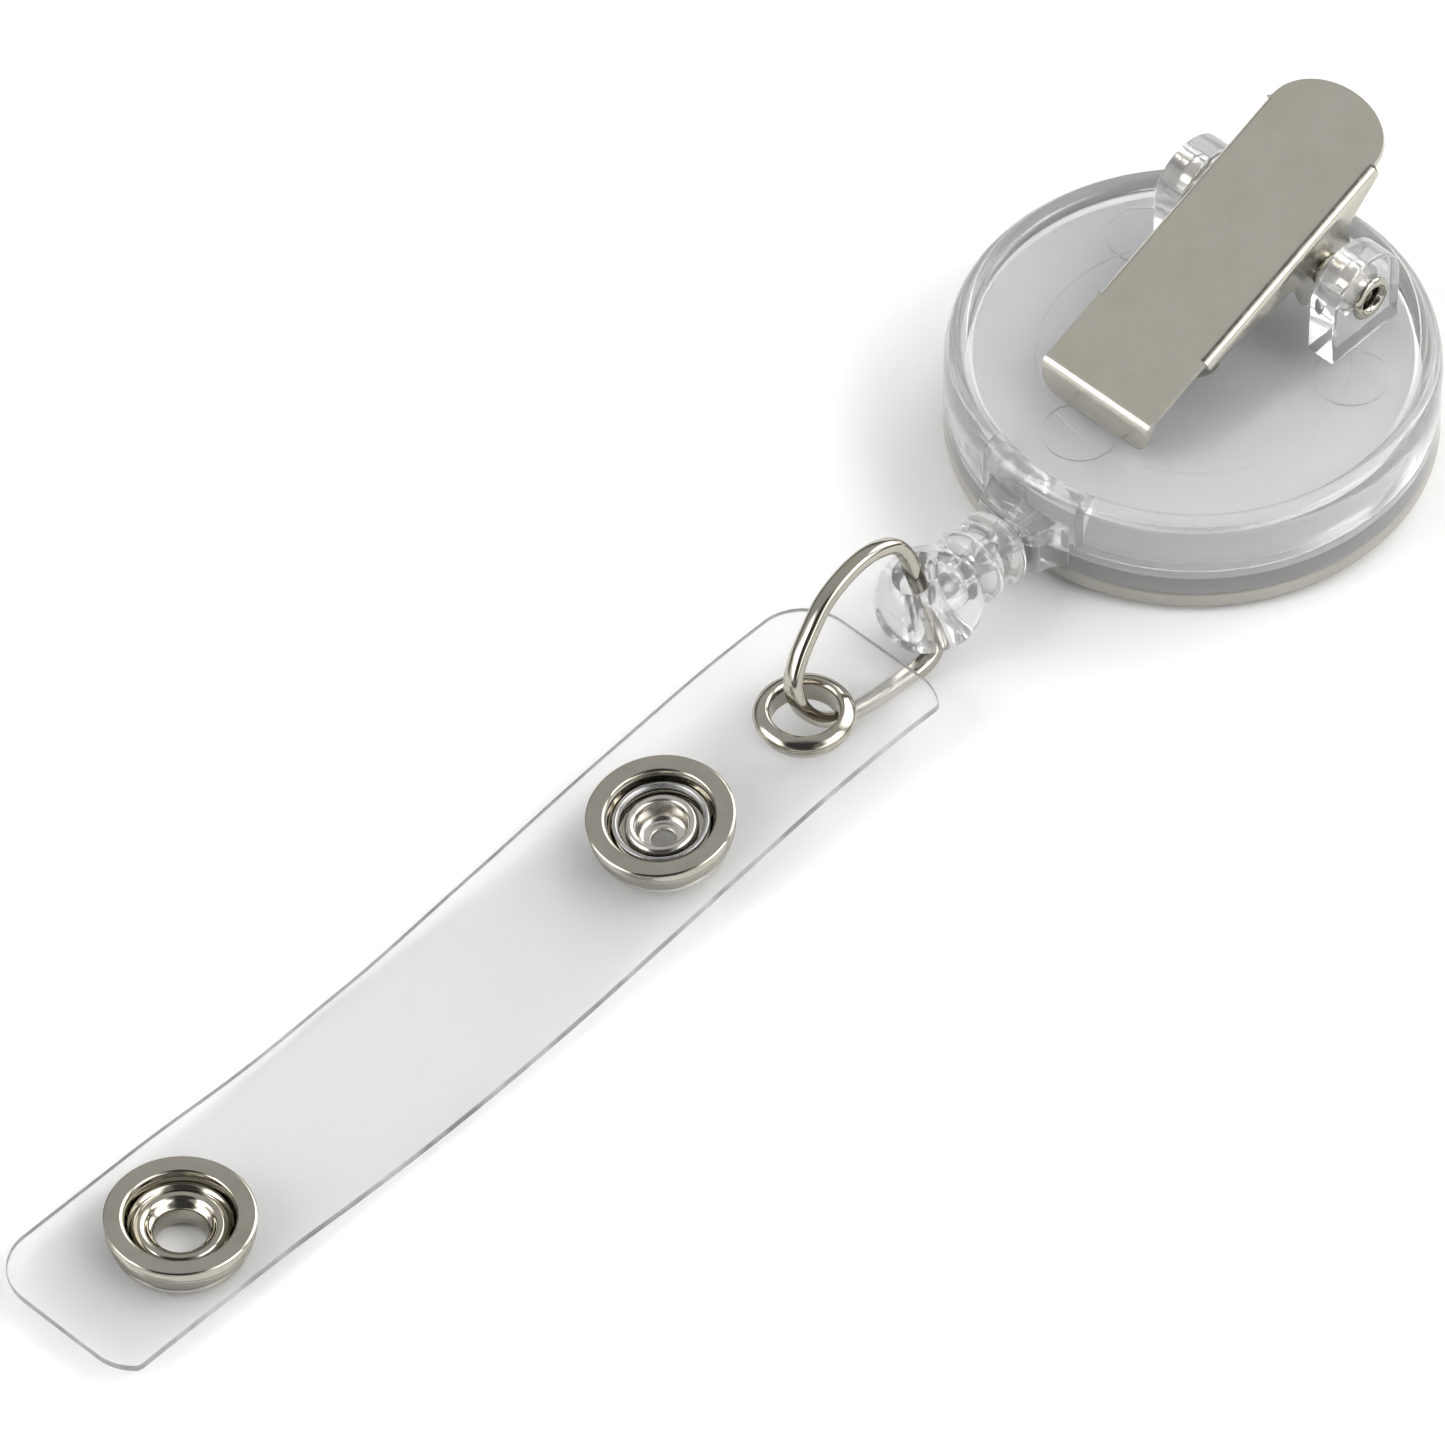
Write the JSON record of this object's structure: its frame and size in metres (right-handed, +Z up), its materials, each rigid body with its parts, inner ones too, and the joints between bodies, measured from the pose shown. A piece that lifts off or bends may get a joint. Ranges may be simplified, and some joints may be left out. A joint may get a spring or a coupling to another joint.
{
  "type": "retractable badge reel",
  "caption": "Round clear retractable badge reel with a spring clip on its back, a cord ending in a bead and a wire ring, and a flexible strap that snaps shut.",
  "frame": {"origin": "centre of the flat front face that the reel lies on, on the spool's axis", "axes": "+X along the neck, ring and strap, +Z up from the front face through the clip, +Y completes a right-handed frame"},
  "size_m": [0.1183, 0.032, 0.0188],
  "materials": {
    "clear_plastic": "clear, polished, moulded",
    "grey_plastic": "plain grey, moulded",
    "nickel_plate": "bright nickel plate",
    "spring_steel": "drawn wire and strip",
    "cord_nylon": "braided cord",
    "soft_vinyl": "clear flexible sheet"
  },
  "bodies": {
    "case": {"front_cap": "grey_plastic", "front_shell": "clear_plastic", "back_shell": "clear_plastic", "power_spring": "spring_steel", "cord_lead": "cord_nylon", "clip_rivet": "nickel_plate", "clip_spring": "spring_steel"},
    "spool_body": {"spool": "grey_plastic", "cord_winding": "cord_nylon"},
    "cord_end": {"cord_run": "cord_nylon", "cord_knot": "cord_nylon"},
    "bead": {"end_bead": "clear_plastic"},
    "ring_body": {"ring": "nickel_plate"},
    "strap": {"strap_eyelet_half": "soft_vinyl", "eyelet": "nickel_plate", "eyelet_washer": "nickel_plate", "socket_cup": "nickel_plate", "socket_spring": "spring_steel", "socket_post": "nickel_plate"},
    "strap_tip": {"strap_snap_half": "soft_vinyl", "stud_cup": "nickel_plate", "stud_post": "nickel_plate"},
    "clip": {"clip_lever": "nickel_plate"}
  },
  "joints": [
    {"name": "cord_pull", "type": "slide", "parent": "case", "child": "cord_end", "axis": [1, 0, 0], "range_m": [0, 0.75], "stiffness_N_per_m": 0.3, "springref_m": -1.5},
    {"name": "spool_spin", "type": "hinge", "parent": "case", "child": "spool_body", "pos_m": [0, 0, 0.0045], "axis": [0, 0, 1], "range_deg": [-4110, 0], "deforming": ["power_spring"]},
    {"name": "bead_swivel", "type": "hinge", "parent": "cord_end", "child": "bead", "pos_m": [0.02485, 0, 0.0036], "axis": [1, 0, 0], "continuous": true},
    {"name": "ring_swing", "type": "hinge", "parent": "bead", "child": "ring_body", "pos_m": [0.02568, 0.00046, 0.00443], "axis": [0.0695, -0.3093, 0.9484], "range_deg": [-30, 30]},
    {"name": "strap_rock", "type": "hinge", "parent": "ring_body", "child": "strap", "pos_m": [0.0364, 0.00065, 0.00287], "axis": [0, 1, 0], "range_deg": [-3, 50]},
    {"name": "strap_fold", "type": "hinge", "parent": "strap", "child": "strap_tip", "pos_m": [0.0708, 0, 0.0027], "axis": [0, -1, 0], "range_deg": [0, 170]},
    {"name": "clip_open", "type": "hinge", "parent": "case", "child": "clip", "pos_m": [-0.00835, -0.0005, 0.01105], "axis": [0, -1, 0], "range_deg": [0, 35], "stiffness_Nm_per_rad": 0.12, "springref_deg": -34.38, "deforming": ["clip_spring"]}
  ],
  "couplings": [
    {"joint": "spool_spin", "follows": "cord_pull", "rad_per_m": -95}
  ]
}
